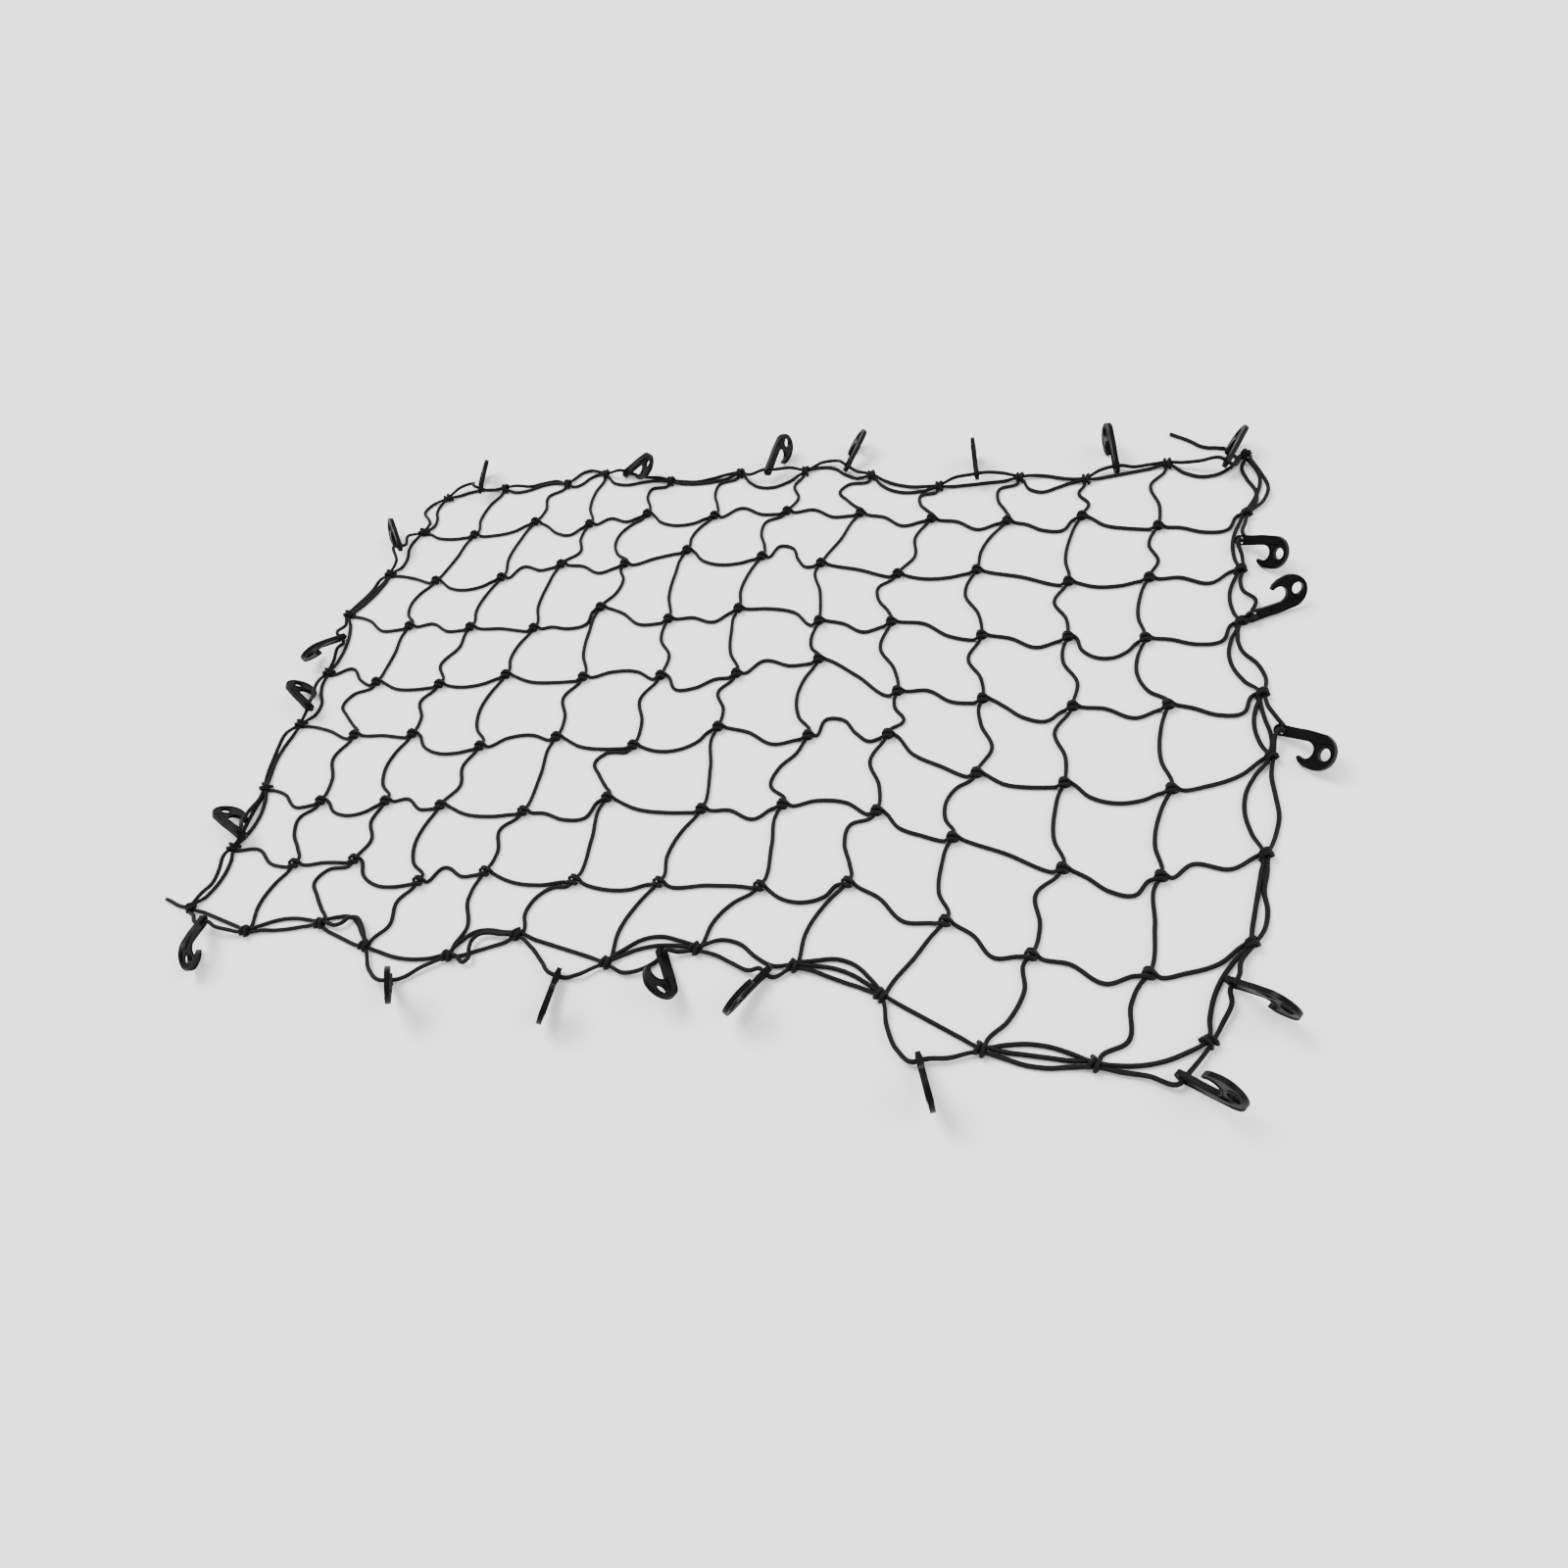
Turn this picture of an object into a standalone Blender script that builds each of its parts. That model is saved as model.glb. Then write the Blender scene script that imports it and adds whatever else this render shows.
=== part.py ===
"""An elastic cargo net laid out slack on a level surface, with its plastic hooks.

Metres, +Z up. X runs along the long side, Y towards the back edge, and the
surface under the net is Z = 0. Row cords run left to right, the first at the
back. Column cords run back to front, the first at the left.
"""

import math

import bmesh
import bpy
from mathutils import Matrix, Vector

# ---------------------------------------------------------------- sizes
ROWS = 9
COLUMNS = 13
KNOT_STEP = 0.145          # knot to knot as the slack net lies
CORD = 0.0065              # side of a four-sided cord
CORD_RADIUS = 0.0036       # a loose end is round
KNOT_RADIUS = 0.00775
KNOT_HEIGHT = 0.013
KNOT_CROWN = 0.6           # the raised top against the knot's radius
PORT_SPREAD = math.radians(52)      # least angle between two cords at one knot
EDGE_CLEAR = math.radians(72)       # no net cord leaves this near the outward side
SIDE_BY_SIDE = 0.0083      # centre to centre where two edge strands run together
KNOT_PASS = 0.0133         # an outer strand goes round a knot at this radius
CORNER_PASS = 0.0145       # and round a corner knot at this one
EDGE_PASS = 0.005          # the outer strand bends this far past a knot's middle
EYE_THROUGH = 0.009        # it runs straight this far each side of a hook's eye
EYE_LEAST = CORD * 0.72    # height of its middle there, so that no edge goes under
EYE_NEAR = 0.021           # and has no other bend nearer the eye than this
EYE_SHARP = 0.4            # a turn with a smaller cosine than this is eased
EYE_EASE = 0.007           # by a bend this far from the eye's own
PASS_NEAR = 0.014          # nor does it bend at a knot as near as this
EYE_PULL = 0.12            # how far along a hook's eye lifts and draws its strand
MIDDLE = Vector((0.02382, -0.02563, 0.0))    # where the middle of it all lies

# Drift of every knot from an even grid in whole centimetres: a line for each
# row cord from the back, a figure for each column cord from the left.
DRIFT_RIGHT = (
    (4, 3, 4, -2, 0, 1, 1, 1, 1, 2, 0, 0, -1),
    (3, 2, 1, 0, -2, -1, 0, 1, 1, 1, 0, -1, -1),
    (1, -1, 0, -2, -2, -4, -2, -4, -3, -3, -1, -2, -2),
    (-3, -1, -1, -1, -3, -2, -3, -1, -2, 0, 0, -2, -2),
    (1, -1, -1, -2, 0, 1, 1, 1, 2, 2, 2, 2, 1),
    (2, 1, -1, 0, 0, 1, 1, 3, 2, 3, 2, 3, 2),
    (3, 2, 1, -2, 0, 0, 3, 2, 3, 1, 3, 2, 1),
    (4, 4, 1, 1, -2, 0, 0, 2, 1, 2, 0, 1, -1),
    (3, 2, 1, -3, -2, -6, -4, -5, -4, -5, -5, -5, -6),
)
DRIFT_BACK = (
    (-5, -2, -1, 2, -1, 1, 1, -1, -5, -3, -4, 0, 2),
    (-2, -3, 1, 0, 3, 2, 3, 2, 0, -1, 0, -3, 0),
    (-1, -3, -2, 2, 2, 6, 4, 2, -1, 0, -3, -2, 0),
    (1, -2, -2, -2, 4, 1, 4, 1, 1, -2, -2, -2, 2),
    (-1, -3, -3, 0, 0, 1, 2, 6, -1, -2, -3, -2, 1),
    (0, -2, -1, -3, 0, -1, 4, 3, 4, -3, -4, -4, 3),
    (-1, -3, -2, -2, -2, 2, 1, 3, 3, -1, -5, -5, 0),
    (0, -2, 0, -3, 0, 0, 1, 2, 4, -1, -5, -6, 0),
    (2, -1, 2, -1, -1, 4, 1, 5, 4, 1, -5, -5, 0),
)

# How a length of cord between two knots lies, in millimetres off the straight
# line: bow is one bend to the left of the way it runs, wave is a bend to the
# left and then one to the right. gaps is the number of straight bits.
#   letter: (bow, wave, gaps)
DRAPES = {
    "-": (0, 0, 2),
    "s": (0, 12, 3),
    "z": (0, -12, 3),
    "u": (16, 0, 3),
    "d": (-15, 0, 3),
    "a": (-15, 12, 3),
    "b": (-15, -12, 3),
    "n": (12, 14, 3),
    "j": (12, -12, 3),
    "N": (22, 26, 5),
    "D": (-30, 0, 4),
    "A": (-30, 12, 4),
    "B": (-30, -12, 4),
    "V": (-46, 0, 5),
    "W": (-50, -16, 5),
}
ROW_DRAPES = (
    "uzzbdVnD-B-V",
    "ddAsDnsaaAdA",
    "-Dna-DN-d-da",
    "as-AaauasaVA",
    "nddduBn-sAaA",
    "--DudDaNddDd",
    "aDsdAdaud-As",
    "s-Dndd-Daaad",
    "-u-d--unu-ud",
)
COLUMN_DRAPES = (
    "zz-ujduu",
    "d-D-WbBd",
    "bddabDzW",
    "djddDzDz",
    "BVudb-bz",
    "BddzbW-D",
    "zBddb-dd",
    "W--dDA-d",
    "BzBbjbBd",
    "BdbbjDd-",
    "zdbzbdbu",
    "bzdDdd-j",
    "jddDdD-d",
)
EDGE_SAMPLES = (0.2, 0.4, 0.6, 0.8)   # where both strands of the edge bend

# The outer strand of the edge, millimetres outward of the line between two
# knots, as a bow and a wave for each mesh along a side.
#   side: (bows, waves)
OUTER = {
    "back": ((45, 5, 35, 20, -5, 10, 25, -10, 40, 10, 30, 5),
             (20, 0, 0, 10, -5, -10, 15, 0, 10, 5, 15, 5)),
    "right": ((35, -5, 10, 0, 20, 15, 10, 10),
              (-10, 0, -15, -15, -5, -5, -10, -5)),
    "front": ((10, 5, 0, 55, -5, 35, 10, 15, 0, 65, 15, 35),
              (0, 0, 0, 10, 0, -10, 15, -5, 0, 0, 0, -10)),
    "left": ((30, 20, 0, 0, 5, 10, 20, -20),
             (20, 10, -5, 0, 5, 0, -5, 0)),
}

# A third strand shares a few meshes of the edge with the other two.
#   side, mesh, bow outward, wave
THIRD_STRANDS = (
    ("front", 2, -29, -5),
    ("front", 4, -28, -4),
    ("front", 6, -32, 0),
    ("front", 8, -32, 0),
    ("front", 10, 0, 0),
    ("right", 4, 4, -4),
)

# Each hook hangs by its eye on the outer strand, at a share of a mesh and so
# many millimetres outward of the line between its knots. Heading is the way the
# shank points, 90 being straight back; pitch lifts the crown; roll turns the
# hook about its shank, 0 lying flat with the beak to the left.
#   name, side, mesh, share, outward, heading, pitch, roll
HOOKS = (
    ("hook_01", "back", 0, 0.65, -11, 99, 9, -51),
    ("hook_02", "back", 3, 0.31, 11, 357, 33, -154),
    ("hook_03", "back", 5, 0.49, -11, 76, 19, -100),
    ("hook_04", "back", 6, 0.62, 17, 71, 19, -45),
    ("hook_05", "back", 8, 0.48, 2, 102, 16, -91),
    ("hook_06", "back", 10, 0.40, 17, 105, 31, -82),
    ("hook_07", "back", 11, 0.73, -38, 68, 12, -59),
    ("hook_08", "right", 1, 0.55, 0, 323, 24, -123),
    ("hook_09", "right", 2, 0.91, 21, 28, 4, 58),
    ("hook_10", "right", 4, 0.64, 22, 322, 22, -134),
    ("hook_11", "right", 7, 0.43, 2, 320, 37, -75),
    ("hook_12", "front", 11, 0.69, 43, 327, 24, 90),
    ("hook_13", "front", 9, 0.62, 57, 293, 17, 89),
    ("hook_14", "front", 7, 0.76, 22, 246, 11, 70),
    ("hook_15", "front", 6, 0.63, 5, 302, 11, 128),
    ("hook_16", "front", 5, 0.63, 46, 276, 10, 60),
    ("hook_17", "front", 3, 0.51, 57, 313, 32, 61),
    ("hook_18", "front", 0, 0.43, 20, 292, 21, -101),
    ("hook_19", "left", 6, 0.87, -17, 154, 6, -138),
    ("hook_20", "left", 4, 0.79, -14, 146, 7, -134),
    ("hook_21", "left", 3, 0.44, -2, 264, 30, -136),
    ("hook_22", "left", 1, 0.51, 10, 125, 13, -63),
)

# The hook, in its own plane: u runs from the eye along the shank to the crown,
# v towards the beak.
HOOK_THICK = 0.008
BASE_AT = (-0.0045, 0)     # the rounded end round the eye
BASE_RADIUS = 0.009
EYE_HOLE = 0.0065
SHANK_BACK = ((0.022, -0.0095), (0.042, -0.011))    # its bowed outer edge
SHANK_FRONT = (0.032, 0.0065)                       # its inner edge
CROWN_AT = (0.066, 0.017)
CROWN_RADIUS = 0.0275
BEAK = ((0.050, 0.0425), (0.041, 0.038), (0.036, 0.032), (0.0385, 0.0286))
MOUTH_AT = (0.0475, 0.0185)
MOUTH_RADIUS = 0.0127
HOLE_AT = (0.078, 0.018)
HOLE_RADIUS = 0.0095

# Loose ends of the edge cord: corner, then points right and back of its knot.
LOOSE_ENDS = (
    ("loose_end_back_right", 0, 12,
     ((-0.034, 0.026), (-0.050, 0.029), (-0.064, 0.030), (-0.078, 0.036),
      (-0.091, 0.048), (-0.104, 0.058), (-0.118, 0.067), (-0.132, 0.076))),
    ("loose_end_front_left", 8, 0,
     ((-0.020, 0.000), (-0.032, 0.001), (-0.044, 0.004), (-0.056, 0.008),
      (-0.068, 0.011))),
)

MATERIALS = {
    "cord": ((0.022, 0.022, 0.024, 1.0), 0.72),
    "edge_cord": ((0.024, 0.024, 0.026, 1.0), 0.72),
    "hook_plastic": ((0.012, 0.012, 0.013, 1.0), 0.42),
}


def clear_scene():
    for obj in list(bpy.data.objects):
        bpy.data.objects.remove(obj)


def material(name):
    found = bpy.data.materials.get(name)
    if found:
        return found
    colour, roughness = MATERIALS[name]
    made = bpy.data.materials.new(name)
    made.use_nodes = True
    shader = made.node_tree.nodes["Principled BSDF"]
    shader.inputs["Base Color"].default_value = colour
    shader.inputs["Roughness"].default_value = roughness
    shader.inputs["Metallic"].default_value = 0.0
    made.diffuse_color = colour
    return made


def add_object(name, data, material_name):
    data.materials.append(material(material_name))
    obj = bpy.data.objects.new(name, data)
    bpy.context.scene.collection.objects.link(obj)
    return obj


def object_from(bm, name, material_name):
    bmesh.ops.recalc_face_normals(bm, faces=bm.faces)
    mesh = bpy.data.meshes.new(name)
    bm.to_mesh(mesh)
    bm.free()
    return add_object(name, mesh, material_name)


# ---------------------------------------------------------------- layout
def knot_at(row, column):
    """The middle of a knot on the surface."""
    x = (column - (COLUMNS - 1) / 2) * KNOT_STEP + DRIFT_RIGHT[row][column] / 100
    y = ((ROWS - 1) / 2 - row) * KNOT_STEP + DRIFT_BACK[row][column] / 100
    return Vector((x, y, 0)) - MIDDLE


def left_of(direction):
    return Vector((-direction.y, direction.x, 0))


def drape_point(start, end, bow, wave, share):
    """A point of a draped length; bow and wave in millimetres to its left."""
    along = end - start
    off = bow * math.sin(math.pi * share) + wave * math.sin(2 * math.pi * share)
    return start + along * share + left_of(along.normalized()) * off / 1000


def clockwise(side, share):
    """A share from the tables, which run left to right and back to front."""
    return 1 - share if side in ("front", "left") else share


def side_knots(side):
    """The knots of a side, as (row, column), clockwise seen from above."""
    last_row, last_column = ROWS - 1, COLUMNS - 1
    return {
        "back": [(0, c) for c in range(COLUMNS)],
        "right": [(r, last_column) for r in range(ROWS)],
        "front": [(last_row, c) for c in reversed(range(COLUMNS))],
        "left": [(r, 0) for r in reversed(range(ROWS))],
    }[side]


def side_mesh(side, number):
    """Start and end knots of a mesh of a side, clockwise, for its table number."""
    knots = side_knots(side)
    if side in ("front", "left"):
        number = len(knots) - 2 - number
    return knots[number], knots[number + 1]


def inner_off(side, number, share):
    """How far outward the inner strand lies, in millimetres, going clockwise."""
    text = {"back": ROW_DRAPES[0], "front": ROW_DRAPES[-1],
            "left": COLUMN_DRAPES[0], "right": COLUMN_DRAPES[-1]}[side]
    bow, wave, _ = DRAPES[text[number]]
    share = clockwise(side, share)
    if side in ("front", "left"):
        bow, wave = -bow, -wave
    return bow * math.sin(math.pi * share) + wave * math.sin(2 * math.pi * share)


def inner_room(side, number, share):
    """Least distance outward of the inner strand, more where it runs aslant."""
    start, end = (knot_at(*knot) for knot in side_mesh(side, number))
    near = [inner_off(side, number, share + step) for step in (-0.05, 0.05)]
    slope = (near[1] - near[0]) / (0.1 * (end - start).length * 1000)
    return (inner_off(side, number, share)
            + SIDE_BY_SIDE * 1000 * math.sqrt(1 + slope * slope))


def outer_off(side, number, share):
    """How far outward the outer strand lies, clear of the inner one."""
    bows, waves = OUTER[side]
    table_share = clockwise(side, share)
    wanted = (bows[number] * math.sin(math.pi * table_share)
              + waves[number] * math.sin(2 * math.pi * table_share))
    return max(wanted, inner_room(side, number, share))


def edge_point(side, number, share, off):
    start, end = side_mesh(side, number)
    start, end = knot_at(*start), knot_at(*end)
    along = end - start
    return start + along * share + left_of(along.normalized()) * off / 1000


def cord_runs():
    """Every length of net cord: (start knot, end knot, points between)."""
    runs = []
    for row in range(ROWS):
        for column in range(COLUMNS - 1):
            bow, wave, gaps = DRAPES[ROW_DRAPES[row][column]]
            shares = [g / gaps for g in range(1, gaps)]
            if row in (0, ROWS - 1):
                shares = EDGE_SAMPLES
            ends = (row, column), (row, column + 1)
            runs.append((*ends, [
                drape_point(knot_at(*ends[0]), knot_at(*ends[1]), bow, wave, share)
                for share in shares]))
    for column in range(COLUMNS):
        for row in range(ROWS - 1):
            bow, wave, gaps = DRAPES[COLUMN_DRAPES[column][row]]
            shares = [g / gaps for g in range(1, gaps)]
            if column in (0, COLUMNS - 1):
                shares = EDGE_SAMPLES
            ends = (row, column), (row + 1, column)
            runs.append((*ends, [
                drape_point(knot_at(*ends[0]), knot_at(*ends[1]), bow, wave, share)
                for share in shares]))
    for side, number, bow, wave in THIRD_STRANDS:
        ends = side_mesh(side, number)
        points = []
        for share in EDGE_SAMPLES:
            table_share = clockwise(side, share)
            off = (bow * math.sin(math.pi * table_share)
                   + wave * math.sin(2 * math.pi * table_share))
            points.append(edge_point(side, number, share, off))
        runs.append((*ends, points))
    return runs


def outward_angle(row, column):
    """The compass angle that points out of the net at an edge knot, or None."""
    x = (column == COLUMNS - 1) - (column == 0)
    y = (row == 0) - (row == ROWS - 1)
    if not x and not y:
        return None
    return math.atan2(y, x)


def spread_ports(angles, outward):
    """Turns the cords of one knot apart until each has a side of its own."""
    angles = list(angles)
    order = sorted(range(len(angles)), key=lambda k: angles[k])
    if outward is not None:
        def swing(angle):
            return (angle - outward) % math.tau
        order = sorted(range(len(angles)), key=lambda k: swing(angles[k]))
        turned = [swing(angles[k]) for k in order]
        for _ in range(60):
            turned[0] = max(turned[0], EDGE_CLEAR)
            turned[-1] = min(turned[-1], math.tau - EDGE_CLEAR)
            for k in range(len(turned) - 1):
                short = PORT_SPREAD - (turned[k + 1] - turned[k])
                if short > 0:
                    turned[k] -= short / 2
                    turned[k + 1] += short / 2
        for place, k in enumerate(order):
            angles[k] = outward + turned[place]
        return angles
    turned = [angles[k] for k in order]
    for _ in range(60):
        for k in range(len(turned)):
            after = (k + 1) % len(turned)
            gap = (turned[after] - turned[k]) % math.tau
            short = PORT_SPREAD - gap
            if short > 0:
                turned[k] -= short / 2
                turned[after] += short / 2
    for place, k in enumerate(order):
        angles[k] = turned[place]
    return angles


# ---------------------------------------------------------------- the net
def section(bm, at, along):
    """The four corners of a cord across its run, low left round to high left."""
    flat = Vector((along.x, along.y, 0)).normalized()
    side = left_of(flat) * CORD / 2
    rise = side.cross(along).normalized() * CORD / 2
    if rise.z < 0:
        rise = -rise
    middle = Vector(at)
    corners = (side - rise, -side - rise, rise - side, side + rise)
    return [bm.verts.new(middle + corner) for corner in corners]


def bridge(bm, first, second):
    for k in range(4):
        after = (k + 1) % 4
        bm.faces.new((first[k], first[after], second[after], second[k]))


def add_knot(bm, middle, angles):
    """A raised many-sided knot; gives the four corners of each cord's port."""
    half = math.asin(CORD / 2 / KNOT_RADIUS)
    ports = sorted((angle % math.tau, k) for k, angle in enumerate(angles))
    filled = []
    for place, (angle, k) in enumerate(ports):
        filled.append((angle, k))
        gap = (ports[(place + 1) % len(ports)][0] - angle) % math.tau
        blanks = int(gap // math.radians(130))
        for blank in range(blanks):
            filled.append((angle + gap * (blank + 1) / (blanks + 1), None))
    rings = []
    crown = []
    for place, (angle, k) in enumerate(filled):
        corners = []
        for turn in (angle + half, angle - half):
            out = Vector((math.cos(turn), math.sin(turn), 0)) * KNOT_RADIUS
            low = bm.verts.new(middle + out)
            high = bm.verts.new(middle + out + Vector((0, 0, CORD)))
            corners.append((low, high))
        rings.append(corners)
        gap = (filled[(place + 1) % len(filled)][0] - angle) % math.tau
        turn = angle + gap / 2
        out = Vector((math.cos(turn), math.sin(turn), 0)) * KNOT_RADIUS * KNOT_CROWN
        crown.append(bm.verts.new(middle + out + Vector((0, 0, KNOT_HEIGHT))))
    openings = {}
    count = len(filled)
    for place, (angle, k) in enumerate(filled):
        (left_low, left_high), (right_low, right_high) = rings[place]
        after_low, after_high = rings[(place + 1) % count][1]
        top, top_before = crown[place], crown[place - 1]
        bm.faces.new((left_low, after_low, after_high, left_high))
        bm.faces.new((left_high, after_high, top))
        bm.faces.new((right_high, left_high, top, top_before))
        if k is None:
            bm.faces.new((right_low, left_low, left_high, right_high))
        else:
            openings[k] = [left_low, right_low, right_high, left_high]
    bm.faces.new([corner for ring in rings for corner in (ring[1][0], ring[0][0])])
    bm.faces.new(crown)
    return openings


def build_net():
    """Row and column cords with the edge's inner strand, knotted into one piece."""
    runs = cord_runs()
    lift = Vector((0, 0, CORD / 2))
    leaving = {}
    for number, (start, end, points) in enumerate(runs):
        for knot, toward, tag in ((start, points[0], "start"), (end, points[-1], "end")):
            way = toward - knot_at(*knot)
            leaving.setdefault(knot, []).append(
                (math.atan2(way.y, way.x), (number, tag)))
    bm = bmesh.new()
    ports = {}
    for knot, cords in sorted(leaving.items()):
        angles = spread_ports([angle for angle, _ in cords], outward_angle(*knot))
        openings = add_knot(bm, knot_at(*knot), angles)
        for k, corners in openings.items():
            ports[cords[k][1]] = corners
    for number, (start, end, points) in enumerate(runs):
        first = ports[number, "start"]
        last = ports[number, "end"]
        begin = sum((v.co for v in first), Vector()) / 4
        finish = sum((v.co for v in last), Vector()) / 4
        line = [begin, *(point + lift for point in points), finish]
        before = first
        for k in range(1, len(line) - 1):
            here = section(bm, line[k], (line[k + 1] - line[k - 1]).normalized())
            bridge(bm, before, here)
            before = here
        # The far port faces back along the cord, so its left and right change over.
        bridge(bm, before, [last[1], last[0], last[3], last[2]])
    return object_from(bm, "net_mesh", "cord")


# ---------------------------------------------------------------- hooks
def arc(middle, radius, start, end, count):
    """Points of an arc, in degrees."""
    points = []
    for k in range(count):
        turn = math.radians(start + (end - start) * k / (count - 1))
        points.append((middle[0] + radius * math.cos(turn),
                       middle[1] + radius * math.sin(turn)))
    return points


def hook_outline():
    """The hook's outline from the base round the back to the crown and beak."""
    return (
        arc(BASE_AT, BASE_RADIUS, 90, 270, 5)
        + list(SHANK_BACK)
        + arc(CROWN_AT, CROWN_RADIUS, -95, 100, 7)
        + list(BEAK)
        + arc(MOUTH_AT, MOUTH_RADIUS, 110, -90, 6)
        + [SHANK_FRONT]
    )


def hook_plate():
    """A flat hook blank with its two holes, thickness along its own Z."""
    bm = bmesh.new()
    loops = (
        hook_outline(),
        arc((0, 0), EYE_HOLE, 0, 315, 8),
        arc(HOLE_AT, HOLE_RADIUS, 0, 315, 8),
    )
    edges = []
    for loop in loops:
        verts = [bm.verts.new((u, v, -HOOK_THICK / 2)) for u, v in loop]
        for k, vert in enumerate(verts):
            edges.append(bm.edges.new((vert, verts[(k + 1) % len(verts)])))
    bmesh.ops.triangle_fill(bm, use_beauty=True, edges=edges)
    made = bmesh.ops.extrude_face_region(bm, geom=list(bm.faces))
    moved = [item for item in made["geom"] if isinstance(item, bmesh.types.BMVert)]
    bmesh.ops.translate(bm, verts=moved, vec=(0, 0, HOOK_THICK))
    return bm


def hook_frame(heading, pitch, roll):
    """Turns the hook's own u, v, w into the world's axes."""
    turn, climb, twist = (math.radians(a) for a in (heading, pitch, roll))
    shank = Vector((math.cos(turn) * math.cos(climb),
                    math.sin(turn) * math.cos(climb), math.sin(climb)))
    level = Vector((-math.sin(turn), math.cos(turn), 0))
    beak = level * math.cos(twist) + shank.cross(level) * math.sin(twist)
    through = shank.cross(beak)
    return Matrix((shank, beak, through)).transposed()


def hook_place(side, number, share, outward, heading, pitch, roll):
    """(matrix, eye, way through the eye) of a hook resting on the surface."""
    eye = edge_point(side, number, clockwise(side, share), outward)
    turned = hook_frame(heading, pitch, roll)
    low = min((turned @ Vector((u, v, w))).z
              for u, v in hook_outline() for w in (-HOOK_THICK / 2, HOOK_THICK / 2))
    eye.z = -low
    way = turned @ Vector((0, 0, 1))
    return Matrix.Translation(eye) @ turned.to_4x4(), eye, way


def build_hooks():
    for name, *place in HOOKS:
        bm = hook_plate()
        matrix, _, _ = hook_place(*place)
        bmesh.ops.transform(bm, matrix=matrix, verts=bm.verts)
        object_from(bm, name, "hook_plastic")


# ---------------------------------------------------------------- the edge cord
def outer_mesh(side, number, hook):
    """The outer strand along one mesh, clockwise, drawn to the hook's eye if any.

    Gives (point, way), the way being that through a hook's eye, or None for a
    point that still is on the surface.
    """
    start, end = (knot_at(*knot) for knot in side_mesh(side, number))
    along = (end - start).normalized()
    length = (end - start).length
    passing = EDGE_PASS / length
    points = [(share, edge_point(side, number, share, KNOT_PASS * 1000), None)
              for share in (passing, 1 - passing)
              if not hook or abs(share - hook[0]) * length > PASS_NEAR]
    for share in EDGE_SAMPLES:
        off = outer_off(side, number, share)
        if hook:
            at, outward, eye, way = hook
            if abs(share - at) * length < EYE_NEAR:
                continue
            pull = max(0, 1 - abs(share - at) * length / EYE_PULL)
            off += (outward - outer_off(side, number, at)) * pull
            off = max(off, inner_room(side, number, share))
        points.append((share, edge_point(side, number, share, off), None))
    if hook:
        at, outward, eye, way = hook
        if way.dot(along) < 0:
            way = -way
        for step in (-EYE_THROUGH, EYE_THROUGH):
            point = eye + way * step
            point.z = max(point.z, EYE_LEAST)
            points.append((at + step / length, point, way))
    points.sort(key=lambda found: found[0])
    return [(point, way) for _, point, way in points]


def outer_path():
    """The outer strand all the way round, clockwise, through every hook's eye."""
    hooks = {}
    for _, side, number, share, outward, *pose in HOOKS:
        _, eye, way = hook_place(side, number, share, outward, *pose)
        hooks[side, number] = (clockwise(side, share), outward, eye, way)
    path = []
    for side in ("back", "right", "front", "left"):
        numbers = list(range(len(OUTER[side][0])))
        if side in ("front", "left"):
            numbers.reverse()
        for number in numbers:
            path.extend(outer_mesh(side, number, hooks.get((side, number))))
        corner = side_knots(side)[-1]
        out = outward_angle(*corner)
        path.append((knot_at(*corner)
                     + Vector((math.cos(out), math.sin(out), 0)) * CORNER_PASS, None))
    lifted = []
    for point, way in path:
        if not way:
            rise = 0
            for _, _, eye, _ in hooks.values():
                far = math.hypot(eye.x - point.x, eye.y - point.y)
                rise = max(rise, (eye.z - CORD / 2) * (1 - far / EYE_PULL))
            point = point + Vector((0, 0, CORD / 2 + rise))
        lifted.append((point, way))
    return eased(lifted)


def eased(path):
    """Adds a bend beside an eye where the strand turns sharply out of it."""
    found = []
    for k, (point, way) in enumerate(path):
        before, after = path[k - 1], path[(k + 1) % len(path)]
        into = (point - before[0]).normalized()
        out = (after[0] - point).normalized()
        if way and not before[1] and into.dot(way) < EYE_SHARP:
            found.append((point - (into + way).normalized() * EYE_EASE,
                          (into * 2 + way).normalized()))
        found.append((point, way))
        if way and not after[1] and out.dot(way) < EYE_SHARP:
            found.append((point + (out + way).normalized() * EYE_EASE,
                          (out * 2 + way).normalized()))
    for point, way in found:
        if way:
            point.z = max(point.z, EYE_LEAST)
    return found


def build_edge_cord():
    path = outer_path()
    bm = bmesh.new()
    count = len(path)
    rings = []
    for k, (point, way) in enumerate(path):
        if not way:
            way = (path[(k + 1) % count][0] - path[k - 1][0]).normalized()
        rings.append(section(bm, point, way))
    for k in range(count):
        bridge(bm, rings[k], rings[(k + 1) % count])
    object_from(bm, "edge_cord", "edge_cord")


def build_loose_ends():
    for name, row, column, route in LOOSE_ENDS:
        curve = bpy.data.curves.new(name, "CURVE")
        curve.dimensions = "3D"
        curve.bevel_depth = CORD_RADIUS
        curve.bevel_resolution = 2
        curve.use_fill_caps = True
        spline = curve.splines.new("POLY")
        spline.points.add(len(route) - 1)
        for point, (right, back) in zip(spline.points, route):
            at = knot_at(row, column) + Vector((right, back, CORD_RADIUS))
            point.co = (*at, 1)
        add_object(name, curve, "edge_cord")


clear_scene()
build_net()
build_edge_cord()
build_hooks()
build_loose_ends()
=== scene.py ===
"""The looks of an elastic cargo net that lies slack on a pale floor, with its hooks.

Metres, +Z up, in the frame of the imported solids: X runs along the long side, Y
towards the back edge, and the floor is Z = 0.
"""

import math

import bmesh
import bpy
from mathutils import Matrix, Vector


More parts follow.
